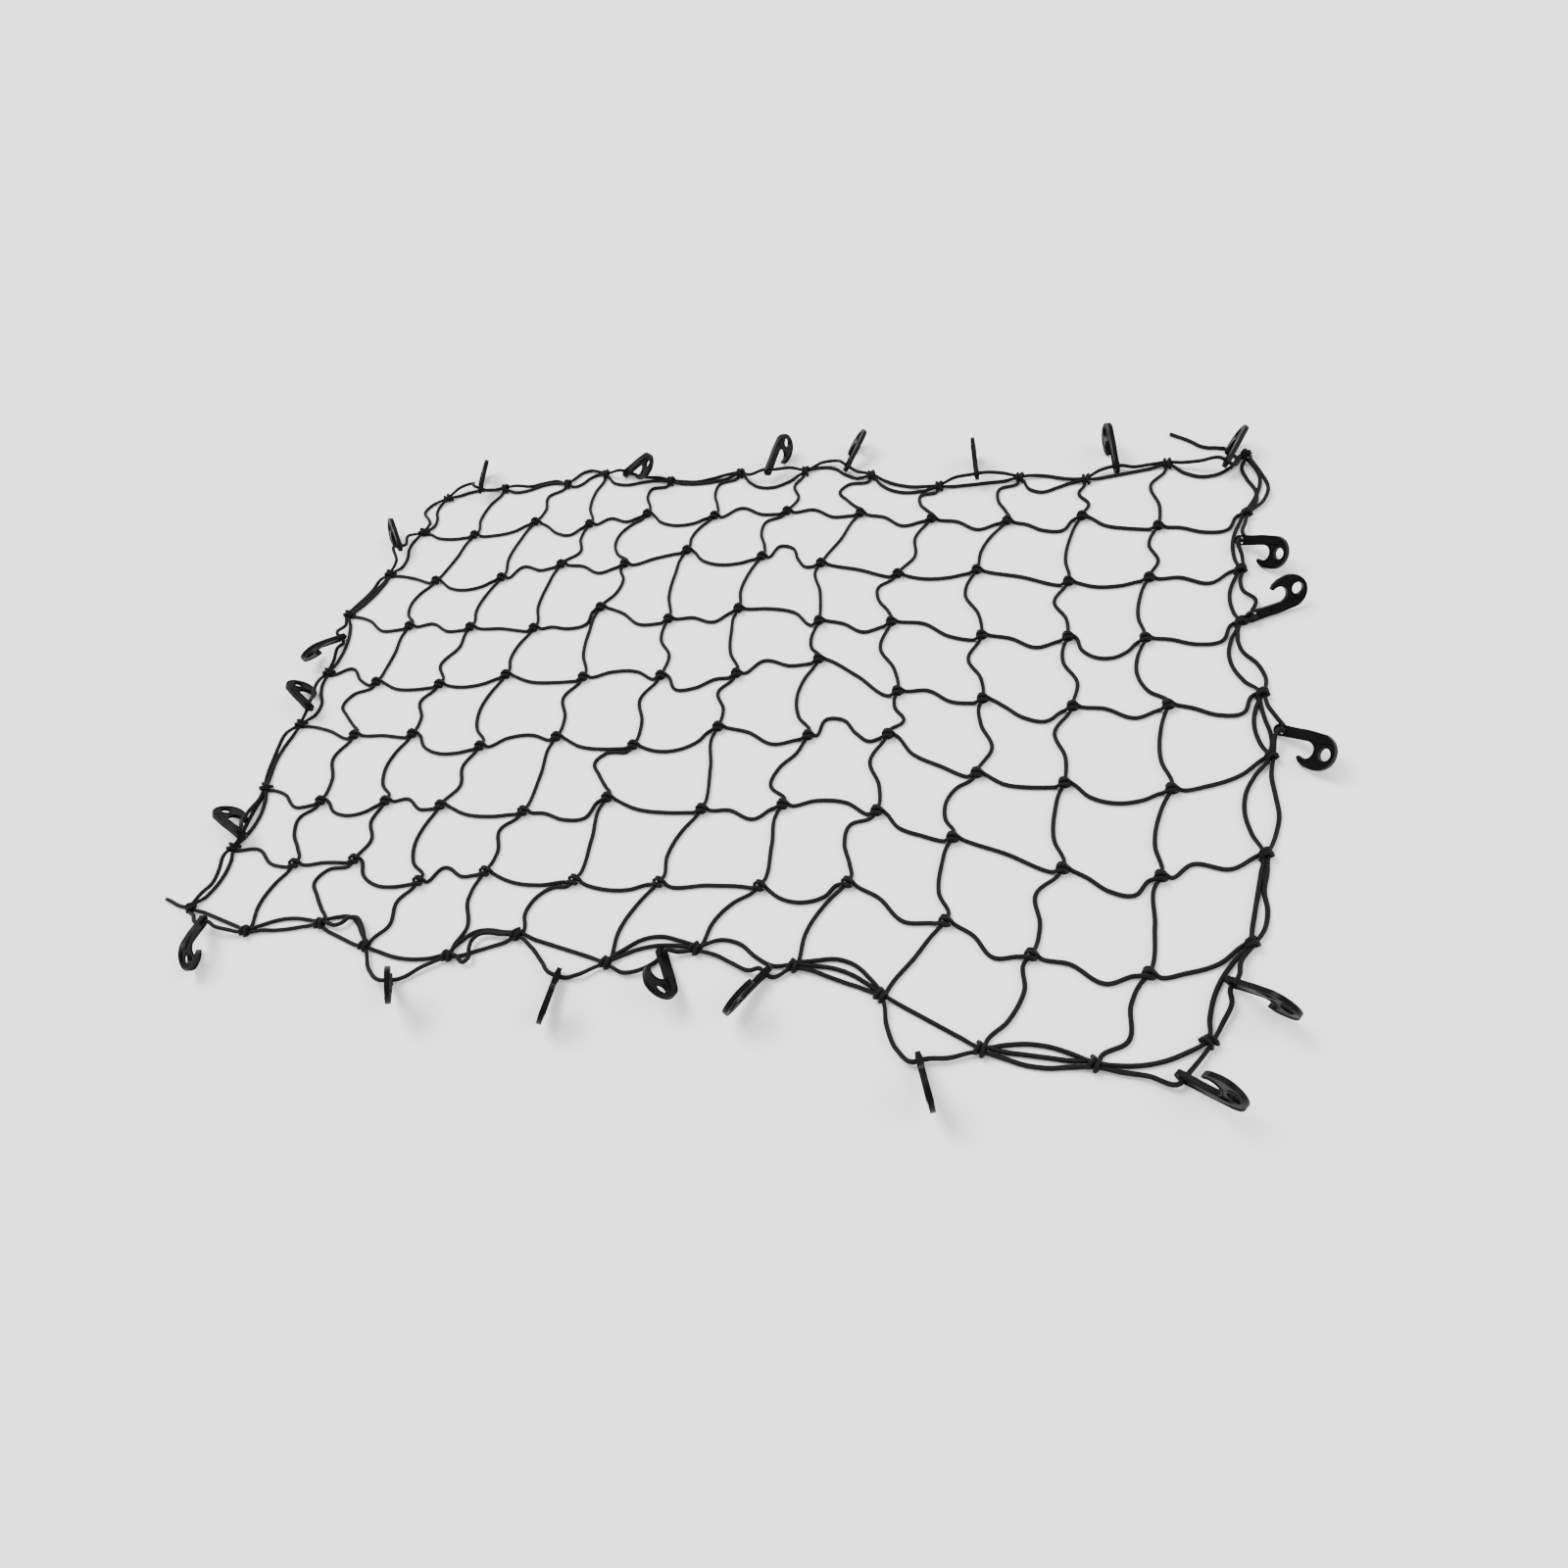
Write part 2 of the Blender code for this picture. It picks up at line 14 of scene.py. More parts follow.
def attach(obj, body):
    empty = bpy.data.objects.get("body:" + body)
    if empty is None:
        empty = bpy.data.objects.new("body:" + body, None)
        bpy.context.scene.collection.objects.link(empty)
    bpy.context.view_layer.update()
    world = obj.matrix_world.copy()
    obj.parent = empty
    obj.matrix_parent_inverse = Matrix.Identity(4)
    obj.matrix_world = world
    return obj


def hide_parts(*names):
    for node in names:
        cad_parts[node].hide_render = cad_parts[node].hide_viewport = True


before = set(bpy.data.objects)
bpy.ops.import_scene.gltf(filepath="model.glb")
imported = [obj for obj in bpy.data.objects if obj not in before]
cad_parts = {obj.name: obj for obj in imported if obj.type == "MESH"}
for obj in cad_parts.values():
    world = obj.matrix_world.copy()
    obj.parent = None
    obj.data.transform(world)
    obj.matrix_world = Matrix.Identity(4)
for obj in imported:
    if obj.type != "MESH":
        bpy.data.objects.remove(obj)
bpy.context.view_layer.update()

# ---------------------------------------------------------------- camera
# The camera stands over the front right corner and looks down across the net,
# turned so that the long side runs up to the right.
CAMERA_AT = Vector((0.6798, -1.1988, 1.3849))
CAMERA_HEADING = math.radians(28.5)
CAMERA_TIP = math.radians(90 - 50.3)       # it looks 50.3 degrees below level
CAMERA_ROLL = math.radians(-19.2)
CAMERA_LENS = 25.18                        # millimetres, like the film's width
CAMERA_FILM = 36


def put(name, data):
    """A new object of this name in the scene."""
    made = bpy.data.objects.new(name, data)
    bpy.context.scene.collection.objects.link(made)
    return made


camera_data = bpy.data.cameras.new("camera")
camera_data.sensor_width = CAMERA_FILM
camera_data.lens = CAMERA_LENS
camera = put("camera", camera_data)
bpy.context.scene.camera = camera
camera.matrix_world = (Matrix.Translation(CAMERA_AT)
                       @ Matrix.Rotation(CAMERA_HEADING, 4, "Z")
                       @ Matrix.Rotation(CAMERA_TIP, 4, "X")
                       @ Matrix.Rotation(CAMERA_ROLL, 4, "Z"))

# ---------------------------------------------------------------- loose ends
# The two ends of the edge cord, cut off square past the corner knots. The cord
# is round and elastic, in a sleeve braided of black yarn.
MM = 1000                  # in a metre
CM = 100
ROWS = 9                   # of knots
COLUMNS = 13
KNOT_STEP = 0.145
MIDDLE = Vector((0.02382, -0.02563, 0.0))
CORD_RADIUS = 0.0036
RING_STEP = 0.006          # along a cord, between the rings of its mesh
CORD_SIDES = 10

# Drift of every knot from an even grid in whole centimetres: a line for each
# row cord from the back, a figure for each column cord from the left.
DRIFT_RIGHT = (
    (4, 3, 4, -2, 0, 1, 1, 1, 1, 2, 0, 0, -1),
    (3, 2, 1, 0, -2, -1, 0, 1, 1, 1, 0, -1, -1),
    (1, -1, 0, -2, -2, -4, -2, -4, -3, -3, -1, -2, -2),
    (-3, -1, -1, -1, -3, -2, -3, -1, -2, 0, 0, -2, -2),
    (1, -1, -1, -2, 0, 1, 1, 1, 2, 2, 2, 2, 1),
    (2, 1, -1, 0, 0, 1, 1, 3, 2, 3, 2, 3, 2),
    (3, 2, 1, -2, 0, 0, 3, 2, 3, 1, 3, 2, 1),
    (4, 4, 1, 1, -2, 0, 0, 2, 1, 2, 0, 1, -1),
    (3, 2, 1, -3, -2, -6, -4, -5, -4, -5, -5, -5, -6),
)
DRIFT_BACK = (
    (-5, -2, -1, 2, -1, 1, 1, -1, -5, -3, -4, 0, 2),
    (-2, -3, 1, 0, 3, 2, 3, 2, 0, -1, 0, -3, 0),
    (-1, -3, -2, 2, 2, 6, 4, 2, -1, 0, -3, -2, 0),
    (1, -2, -2, -2, 4, 1, 4, 1, 1, -2, -2, -2, 2),
    (-1, -3, -3, 0, 0, 1, 2, 6, -1, -2, -3, -2, 1),
    (0, -2, -1, -3, 0, -1, 4, 3, 4, -3, -4, -4, 3),
    (-1, -3, -2, -2, -2, 2, 1, 3, 3, -1, -5, -5, 0),
    (0, -2, 0, -3, 0, 0, 1, 2, 4, -1, -5, -6, 0),
    (2, -1, 2, -1, -1, 4, 1, 5, 4, 1, -5, -5, 0),
)

# Name, row and column of the corner knot, length, and points right and back of it.
LOOSE_ENDS = (
    ("loose_end_back_right", 0, 12, 0.113,
     ((-0.034, 0.026), (-0.050, 0.029), (-0.064, 0.030), (-0.078, 0.036),
      (-0.091, 0.048), (-0.104, 0.058), (-0.118, 0.067), (-0.132, 0.076))),
    ("loose_end_front_left", 8, 0, 0.049,
     ((-0.020, 0.000), (-0.032, 0.001), (-0.044, 0.004), (-0.056, 0.008),
      (-0.068, 0.011))),
)


def knot_at(row, column):
    """The middle of a knot on the floor."""
    x = (column - (COLUMNS - 1) / 2) * KNOT_STEP + DRIFT_RIGHT[row][column] / CM
    y = ((ROWS - 1) / 2 - row) * KNOT_STEP + DRIFT_BACK[row][column] / CM
    return Vector((x, y, 0)) - MIDDLE


def soft_line(points, closed=False):
    """Bends a line of (x, y, z, radius) smoothly, with points a ring step apart."""
    count = len(points)
    places = [Vector(p[:3]) for p in points]
    ways = []
    for k in range(count):
        before = places[k - 1] if k or closed else places[0]
        after = places[(k + 1) % count] if k < count - 1 or closed else places[-1]
        into, out = places[k] - before, after - places[k]
        way = into.normalized() * out.length + out.normalized() * into.length
        if not into.length or not out.length:
            way = into + out
        ways.append(way.normalized())
    found = []
    for k in range(count if closed else count - 1):
        after = (k + 1) % count
        span = (places[after] - places[k]).length
        pieces = max(2, math.ceil(span / RING_STEP))
        for piece in range(pieces):
            t = piece / pieces
            place = (places[k] * (1 + 2 * t) * (1 - t) ** 2
                     + ways[k] * span * t * (1 - t) ** 2
                     + places[after] * t * t * (3 - 2 * t)
                     + ways[after] * span * t * t * (t - 1))
            radius = points[k][3] * (1 - t) + points[after][3] * t
            found.append((place.x, place.y, max(place.z, radius), radius))
    if not closed:
        found.append(tuple(points[-1]))
    return found


def cord_mesh(name, lines, sides=CORD_SIDES):
    """Round cords along lines of (x, y, z, radius); lines are (points, closed).

    The UV map Cord holds metres along the cord and turns round it.
    """
    curve = bpy.data.curves.new(name, "CURVE")
    curve.dimensions = "3D"
    curve.bevel_depth = 1
    curve.bevel_resolution = (sides - 4) // 2      # a round bevel starts with four sides
    for points, closed in lines:
        spline = curve.splines.new("POLY")
        spline.points.add(len(points) - 1)
        spline.use_cyclic_u = closed
        for point, (x, y, z, radius) in zip(spline.points, points):
            point.co = (x, y, z, 1)
            point.radius = radius
    shape = put(name + "_line", curve)
    bpy.context.view_layer.update()
    mesh = bpy.data.meshes.new_from_object(
        shape.evaluated_get(bpy.context.evaluated_depsgraph_get()))
    bpy.data.objects.remove(shape)
    bpy.data.curves.remove(curve)
    places = []
    for number, (points, _) in enumerate(lines):
        far = 0.0
        for k, point in enumerate(points):
            if k:
                far += (Vector(point[:3]) - Vector(points[k - 1][:3])).length
            places.extend((number, k, side, far) for side in range(sides))
    bm = bmesh.new()
    bm.from_mesh(mesh)
    bpy.data.meshes.remove(mesh)
    layer = bm.loops.layers.uv.get("UVMap") or bm.loops.layers.uv.new("UVMap")
    bm.verts.ensure_lookup_table()
    for face in bm.faces:
        corners = [places[loop.vert.index] for loop in face.loops]
        rings = [ring for _, ring, _, _ in corners]
        turned = max(c[2] for c in corners) - min(c[2] for c in corners) > 1
        joined = max(rings) - min(rings) > 1
        for loop, (number, ring, side, far) in zip(face.loops, corners):
            if turned and side == 0:       # the last face round ends at a whole turn
                side = sides
            if joined and ring == 0:       # the last ring of a closed cord meets the first
                first, last = (Vector(lines[number][0][k][:3]) for k in (0, -1))
                far = max(c[3] for c in corners) + (last - first).length
            loop[layer].uv = (far, side / sides)
    open_edges = [edge for edge in bm.edges if edge.is_boundary]
    if open_edges:
        bmesh.ops.holes_fill(bm, edges=open_edges, sides=0)
    bmesh.ops.recalc_face_normals(bm, faces=bm.faces)
    for face in bm.faces:
        face.smooth = len(face.verts) == 4         # the cut ends stay flat
    made = bpy.data.meshes.new(name)
    bm.to_mesh(made)
    bm.free()
    made.uv_layers[0].name = "Cord"
    return put(name, made)


def math_node(tree, operation, first, second=None):
    """A Math node; its inputs are sockets or numbers. Gives its output."""
    node = tree.nodes.new("ShaderNodeMath")
    node.operation = operation
    for socket, value in zip(node.inputs, (first, second)):
        if isinstance(value, bpy.types.NodeSocket):
            tree.links.new(value, socket)
        elif value is not None:
            socket.default_value = value
    return node.outputs[0]


# Each strand of the sleeve's braid goes once round the cord in one lay.
BRAID_STRANDS = 8
BRAID_LAY = 0.016
GROOVE_EDGE = 3.0          # the higher, the narrower the grooves between strands
PATCHES = (9, 3)           # scale and detail of a noise
FUZZ = (2600, 2)
# A surface: its darkest and lightest shade, its sheen, its least roughness and how
# much rougher it gets, and the depth and strength of its bumps.
YARN = {
    "dark": (0.001, 0.001, 0.001), "light": (0.006, 0.006, 0.0065), "sheen": 0.12,
    "rough": 0.55, "rougher": 0.25, "deep": 0.0005, "strength": 0.7,
}


def braid_group():
    """The sleeve's braid: strands that wind both ways, each over and then under."""
    group = bpy.data.node_groups.new("braided sleeve", "ShaderNodeTree")
    face = group.interface
    face.new_socket("Along", in_out="INPUT", socket_type="NodeSocketFloat")
    face.new_socket("Around", in_out="INPUT", socket_type="NodeSocketFloat")
    strands = face.new_socket("Strands", in_out="INPUT", socket_type="NodeSocketFloat")
    strands.default_value = BRAID_STRANDS
    lay = face.new_socket("Lay", in_out="INPUT", socket_type="NodeSocketFloat")
    lay.default_value = BRAID_LAY
    face.new_socket("Height", in_out="OUTPUT", socket_type="NodeSocketFloat")
    face.new_socket("Groove", in_out="OUTPUT", socket_type="NodeSocketFloat")
    inlet = group.nodes.new("NodeGroupInput").outputs
    outlet = group.nodes.new("NodeGroupOutput").inputs
    turn = math_node(group, "MULTIPLY", inlet["Around"], inlet["Strands"])
    run = math_node(group, "DIVIDE", inlet["Along"], inlet["Lay"])
    run = math_node(group, "MULTIPLY", run, inlet["Strands"])
    ridges = []
    floors = []
    for operation in ("ADD", "SUBTRACT"):
        place = math_node(group, operation, turn, run)
        floors.append(math_node(group, "FLOOR", place))
        wave = math_node(group, "SINE", math_node(group, "MULTIPLY", place, math.pi))
        ridges.append(math_node(group, "ABSOLUTE", wave))
    both = math_node(group, "ADD", floors[0], floors[1])
    odd = math_node(group, "ABSOLUTE", math_node(group, "MODULO", both, 2.0))
    even = math_node(group, "SUBTRACT", 1.0, odd)
    over = math_node(group, "MULTIPLY", ridges[0], odd)
    under = math_node(group, "MULTIPLY", ridges[1], even)
    height = math_node(group, "ADD", over, under)
    group.links.new(height, outlet["Height"])
    depth = math_node(group, "SUBTRACT", 1.0, height)
    group.links.new(math_node(group, "POWER", depth, GROOVE_EDGE), outlet["Groove"])
    return group


BRAID = braid_group()


def new_material(name):
    """A material, its node tree and the shader in it."""
    made = bpy.data.materials.new(name)
    made.use_nodes = True
    return made, made.node_tree, made.node_tree.nodes["Principled BSDF"]


def noise(tree, scale, detail):
    """Cloudy values from 0 to 1 that stay on the piece."""
    place = tree.nodes.new("ShaderNodeTexCoord")
    cloud = tree.nodes.new("ShaderNodeTexNoise")
    cloud.inputs["Scale"].default_value = scale
    cloud.inputs["Detail"].default_value = detail
    tree.links.new(place.outputs["Object"], cloud.inputs["Vector"])
    return cloud.outputs["Fac"]


def dress(tree, shader, look, shade, wear, height):
    """A surface's colour by shade, roughness by wear and bumps by height, all 0 to 1."""
    mix = tree.nodes.new("ShaderNodeMix")
    mix.data_type = "RGBA"
    mix.inputs["A"].default_value = (*look["dark"], 1)
    mix.inputs["B"].default_value = (*look["light"], 1)
    tree.links.new(shade, mix.inputs["Factor"])
    tree.links.new(mix.outputs["Result"], shader.inputs["Base Color"])
    shader.inputs["Specular IOR Level"].default_value = look["sheen"]
    rough = math_node(tree, "MULTIPLY", wear, look["rougher"])
    rough = math_node(tree, "ADD", rough, look["rough"])
    tree.links.new(rough, shader.inputs["Roughness"])
    bump = tree.nodes.new("ShaderNodeBump")
    bump.inputs["Distance"].default_value = look["deep"]
    bump.inputs["Strength"].default_value = look["strength"]
    tree.links.new(height, bump.inputs["Height"])
    tree.links.new(bump.outputs["Normal"], shader.inputs["Normal"])


def cord_material(name):
    """Black braided cord, a little uneven in tone, with painted shade darkening its
    grooves.
    """
    made, tree, shader = new_material(name)
    uv = tree.nodes.new("ShaderNodeUVMap")
    uv.uv_map = "Cord"
    split = tree.nodes.new("ShaderNodeSeparateXYZ")
    tree.links.new(uv.outputs[0], split.inputs[0])
    braid = tree.nodes.new("ShaderNodeGroup")
    braid.node_tree = BRAID
    tree.links.new(split.outputs["X"], braid.inputs["Along"])
    tree.links.new(split.outputs["Y"], braid.inputs["Around"])
    groove = braid.outputs["Groove"]
    both = math_node(tree, "ADD", noise(tree, *PATCHES), noise(tree, *FUZZ))
    shade = math_node(tree, "MULTIPLY", both, 0.5)
    # Painted shade: the colour is darkened in the grooves between the braid's strands.
    shade = math_node(tree, "MULTIPLY", shade, math_node(tree, "SUBTRACT", 1.0, groove))
    dress(tree, shader, YARN, shade, groove, braid.outputs["Height"])
    return made


EDGE_CORD = cord_material("edge cord")
NET_CORD = cord_material("net cord")

for name, row, column, length, route in LOOSE_ENDS:
    line = []
    for right, back in route:
        line.append((*(knot_at(row, column) + Vector((right, back, CORD_RADIUS))),
                     CORD_RADIUS))
    line = soft_line(line)
    loose_end = cord_mesh(name + "_cord", [(line, False)])
    loose_end.data.materials.append(EDGE_CORD)
    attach(loose_end, "root")
    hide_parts(name)

# ---------------------------------------------------------------- net cords
# Seven row cords and eleven column cords of the same braided cord. Each row
# cord is hitched round every column cord that it meets, and the ends of both
# are wrapped round the two strands of the edge.
KNOT_CORD = 0.0029         # radius of a cord pulled tight in a knot
KNOT_CORE = 0.0072         # height of the cord that the knot is tied round
# How a length of cord between two knots lies, in millimetres off the straight
# line: bow is one bend to the left of the way it runs, wave is a bend to the
# left and then one to the right. gaps is the number of straight bits.
#   letter: (bow, wave, gaps)
DRAPES = {
    "-": (0, 0, 2),
    "s": (0, 12, 3),
    "z": (0, -12, 3),
    "u": (16, 0, 3),
    "d": (-15, 0, 3),
    "a": (-15, 12, 3),
    "b": (-15, -12, 3),
    "n": (12, 14, 3),
    "j": (12, -12, 3),
    "N": (22, 26, 5),
    "D": (-30, 0, 4),
    "A": (-30, 12, 4),
    "B": (-30, -12, 4),
    "V": (-46, 0, 5),
    "W": (-50, -16, 5),
}
ROW_DRAPES = (
    "uzzbdVnD-B-V",
    "ddAsDnsaaAdA",
    "-Dna-DN-d-da",
    "as-AaauasaVA",
    "nddduBn-sAaA",
    "--DudDaNddDd",
    "aDsdAdaud-As",
    "s-Dndd-Daaad",
    "-u-d--unu-ud",
)
COLUMN_DRAPES = (
    "zz-ujduu",
    "d-D-WbBd",
    "bddabDzW",
    "djddDzDz",
    "BVudb-bz",
    "BddzbW-D",
    "zBddb-dd",
    "W--dDA-d",
    "BzBbjbBd",
    "BdbbjDd-",
    "zdbzbdbu",
    "bzdDdd-j",
    "jddDdD-d",
)
# A knot inside the net, in millimetres: right, back, up, and the cord's radius.
# The row cord goes over the column cord, round under it, over itself on the
# slant, round again and away; the column cord runs through the turns.
HITCH = (
    (-12.5, -6.4, 4.2, 3.5), (-5.5, -6.2, 10.0, 3.1),
    (1.5, -6.0, 13.6, 3.0), (7.6, -4.6, 7.6, 3.0), (0.5, -4.2, 3.4, 3.0),
    (-7.4, -2.4, 7.2, 3.0), (-1.2, 0.2, 16.4, 3.1), (7.0, 2.6, 7.8, 3.0),
    (0.4, 4.4, 3.4, 3.0), (-7.0, 5.0, 7.8, 3.0), (-0.4, 5.4, 13.6, 3.1),
    (6.5, 4.2, 7.6, 3.3), (11.5, 2.0, 4.2, 3.5),
)
CORE = (
    (0.8, 10, 5.4, 3.3), (0.4, 4.5, 7.4, 2.9),
    (-0.6, -4.5, 7.4, 2.9), (-4.0, -10.5, 5.0, 3.3),
)
# The end of a net cord at the edge: right, outward, up and radius. It goes
# under the edge's two strands and twice round them, and its cut end lies beside it.
END_WRAP = (
    (-1.5, -10, 3.5, 3.4), (-5.0, 2.6, 3.4, 3.2),
    (-5.4, 10.4, 7.6, 3.2), (-4.4, 2.6, 13.6, 3.2), (-1.4, -5.4, 7.8, 3.2),
    (1.8, 2.6, 3.4, 3.2), (4.6, 10.4, 7.6, 3.2), (2.4, 2.6, 15.0, 3.2),
    (3.8, -5.4, 8.6, 3.2), (6.2, -6.6, 4.6, 3.2), (8.6, -7.6, 3.5, 3.2),
)


def left_of(direction):
    """The level way at right angles to the left of a direction."""
    return Vector((-direction.y, direction.x, 0))


def sway(bow, wave, share):
    """How far off the straight line a cord lies at a share of its length."""
    return bow * math.sin(math.pi * share) + wave * math.sin(math.tau * share)


def drape(start, end, letter):
    """Points of a draped length of cord between two knots."""
    bow, wave, gaps = DRAPES[letter]
    along = end - start
    found = []
    for k in range(1, gaps):
        off = sway(bow, wave, k / gaps)
        found.append(start + along * (k / gaps) + left_of(along.normalized()) * off / MM)
    return found


def at_knot(shape, middle, back):
    """Puts a knot's points at its place, its own back way turned to the one given."""
    back = Vector((back.x, back.y, 0)).normalized()
    right = -left_of(back)
    found = []
    for x, y, z, radius in shape:
        place = middle + (right * x + back * y) / MM
        found.append((place.x, place.y, z / MM, radius / MM))
    return found


def on_floor(points):
    """Line points of a full-size cord that lies on the floor."""
    return [(p.x, p.y, CORD_RADIUS, CORD_RADIUS) for p in points]


def column_way(row, column):
    """The way back along a column cord at a knot."""
    back = knot_at(max(row - 1, 0), column)
    front = knot_at(min(row + 1, ROWS - 1), column)
    return (back - front).normalized()


def net_line(knots, drapes, shape):
    """One net cord from edge to edge, with the given shape at each knot between."""
    places = [knot_at(*knot) for knot in knots]
    line = list(reversed(at_knot(END_WRAP, places[0], places[0] - places[1])))
    for k, letter in enumerate(drapes):
        line.extend(on_floor(drape(places[k], places[k + 1], letter)))
        if k + 2 < len(places):
            line.extend(at_knot(shape, places[k + 1], column_way(*knots[k + 1])))
    line.extend(at_knot(END_WRAP, places[-1], places[-1] - places[-2]))
    return soft_line(line)


row_cords = cord_mesh("row_cords", [
    (net_line([(row, column) for column in range(COLUMNS)], ROW_DRAPES[row], HITCH), False)
    for row in range(1, ROWS - 1)])
column_cords = cord_mesh("column_cords", [
    (net_line([(row, column) for row in range(ROWS)], COLUMN_DRAPES[column], CORE), False)
    for column in range(1, COLUMNS - 1)])
for cords in (row_cords, column_cords):
    cords.data.materials.append(NET_CORD)
    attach(cords, "root")
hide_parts("net_mesh")

# ---------------------------------------------------------------- inner edge strand
# The inner strand of the edge, one cord all the way round through the turns of
# the edge knots, with a few short third strands where the edge is mended.
EDGE_SAMPLES = (0.2, 0.4, 0.6, 0.8)
INNER_PASS = -0.0005       # where each strand goes through a knot, outward of its middle
OUTER_PASS = 0.0058
THIRD_PASS = -0.0030
#   side, mesh, bow outward and wave in millimetres
THIRD_STRANDS = (
    ("front", 2, -29, -5),
    ("front", 4, -28, -4),
    ("front", 6, -32, 0),
    ("front", 8, -32, 0),
    ("front", 10, 0, 0),
    ("right", 4, 4, -4),
    ("right", 0, 26, 3),
    ("left", 2, -9, 0),
    ("left", 6, 4, 0),
)
# Front meshes where the inner strand is slack and stands out in a small loop:
# its way, right and back of the mesh's left knot in millimetres.
SLACK = {
    2: ((14, 0), (30, -4), (43, 2), (51, 13), (65, 15), (83, 1), (98, -18)),
    4: ((10, 0), (20, -3), (34, -11), (40, -3), (34, 13), (33, 28), (40, 39),
        (56, 44), (76, 44), (94, 46)),
}
SLACK_HEIGHT = 0.0095      # of its middle, over the other strands
SIDES = ("back", "right", "front", "left")


def clockwise(side, share):
    """A share from the tables, which run left to right and back to front."""
    return 1 - share if side in ("front", "left") else share


def side_knots(side):
    """The knots of a side, as (row, column), clockwise seen from above."""
    last_row, last_column = ROWS - 1, COLUMNS - 1
    return {
        "back": [(0, c) for c in range(COLUMNS)],
        "right": [(r, last_column) for r in range(ROWS)],
        "front": [(last_row, c) for c in reversed(range(COLUMNS))],
        "left": [(r, 0) for r in reversed(range(ROWS))],
    }[side]


def side_mesh(side, number):
    """Start and end knots of a mesh of a side, clockwise, for its table number."""
    knots = side_knots(side)
    if side in ("front", "left"):
        number = len(knots) - 2 - number
    return knots[number], knots[number + 1]


def side_numbers(side):
    """The table numbers of a side's meshes, in clockwise order."""
    numbers = list(range(len(side_knots(side)) - 1))
    return numbers[::-1] if side in ("front", "left") else numbers


def inner_off(side, number, share):
    """How far outward the inner strand lies, in millimetres, going clockwise."""
    text = {"back": ROW_DRAPES[0], "front": ROW_DRAPES[-1],
            "left": COLUMN_DRAPES[0], "right": COLUMN_DRAPES[-1]}[side]
    bow, wave, _ = DRAPES[text[number]]
    if side in ("front", "left"):
        bow, wave = -bow, -wave
    return sway(bow, wave, clockwise(side, share))


def mesh_ends(side, number):
    """The places of the two knots of a mesh of a side, clockwise."""
    start, end = side_mesh(side, number)
    return knot_at(*start), knot_at(*end)


def edge_point(side, number, share, off):
    """A point along a mesh of the edge, off millimetres outward of the straight line."""
    start, end = mesh_ends(side, number)
    along = end - start
    return start + along * share + left_of(along.normalized()) * off / MM


def outward_way(row, column):
    """The way out of the net at a knot of its edge."""
    x = (column == COLUMNS - 1) - (column == 0)
    y = (row == 0) - (row == ROWS - 1)
    return Vector((x, y, 0)).normalized()


def through_knot(row, column, off):
    """A strand of the edge inside the turns of an edge knot."""
    place = knot_at(row, column) + outward_way(row, column) * off
    return (place.x, place.y, KNOT_CORE, KNOT_CORD)


inner_line = []
for side in SIDES:
    for number in side_numbers(side):
        inner_line.append(through_knot(*side_mesh(side, number)[0], INNER_PASS))
        if side == "front" and number in SLACK:
            for right, back in reversed(SLACK[number]):
                place = knot_at(ROWS - 1, number) + Vector((right, back, 0)) / MM
                inner_line.append((place.x, place.y, SLACK_HEIGHT, CORD_RADIUS))
            continue
        inner_line.extend(on_floor([
            edge_point(side, number, share, inner_off(side, number, share))
            for share in EDGE_SAMPLES]))
edge_lines = [(soft_line(inner_line, closed=True), True)]
for side, number, bow, wave in THIRD_STRANDS:
    start, end = side_mesh(side, number)
    line = [through_knot(*start, THIRD_PASS)]
    line.extend(on_floor([
        edge_point(side, number, share, sway(bow, wave, clockwise(side, share)))
        for share in EDGE_SAMPLES]))
    line.append(through_knot(*end, THIRD_PASS))
    edge_lines.append((soft_line(line), False))
inner_strand = cord_mesh("inner_edge_strand", edge_lines)
inner_strand.data.materials.append(NET_CORD)
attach(inner_strand, "root")

# ---------------------------------------------------------------- hooks
# Black moulded plastic hooks, flat and J-shaped: an eye that the edge cord runs
# through, a shank, a crown with a round hole, and a beak.
#   name, side, mesh, share along it, eye outward in millimetres, heading, pitch, roll
HOOKS = (
    ("hook_01", "back", 0, 0.65, -11, 99, 9, -51),
    ("hook_02", "back", 3, 0.31, 11, 357, 33, -154),
    ("hook_03", "back", 5, 0.49, -11, 76, 19, -100),
    ("hook_04", "back", 6, 0.62, 17, 71, 19, -45),
    ("hook_05", "back", 8, 0.48, 2, 102, 16, -91),
    ("hook_06", "back", 10, 0.40, 17, 105, 31, -82),
    ("hook_07", "back", 11, 0.73, -38, 68, 12, -59),
    ("hook_08", "right", 1, 0.55, 0, 323, 24, -123),
    ("hook_09", "right", 2, 0.91, 21, 28, 4, 58),
    ("hook_10", "right", 4, 0.64, 22, 322, 22, -134),
    ("hook_11", "right", 7, 0.43, 2, 320, 37, -75),
    ("hook_12", "front", 11, 0.69, 43, 327, 24, 90),
    ("hook_13", "front", 9, 0.62, 57, 293, 17, 89),
    ("hook_14", "front", 7, 0.76, 22, 246, 11, 70),
    ("hook_15", "front", 6, 0.63, 5, 302, 11, 128),
    ("hook_16", "front", 5, 0.63, 46, 276, 10, 60),
    ("hook_17", "front", 3, 0.51, 57, 313, 32, 61),
    ("hook_18", "front", 0, 0.43, 20, 292, 21, -101),
    ("hook_19", "left", 6, 0.87, -17, 154, 6, -138),
    ("hook_20", "left", 4, 0.79, -14, 146, 7, -134),
    ("hook_21", "left", 3, 0.44, -2, 264, 30, -136),
    ("hook_22", "left", 1, 0.51, 10, 125, 13, -63),
)
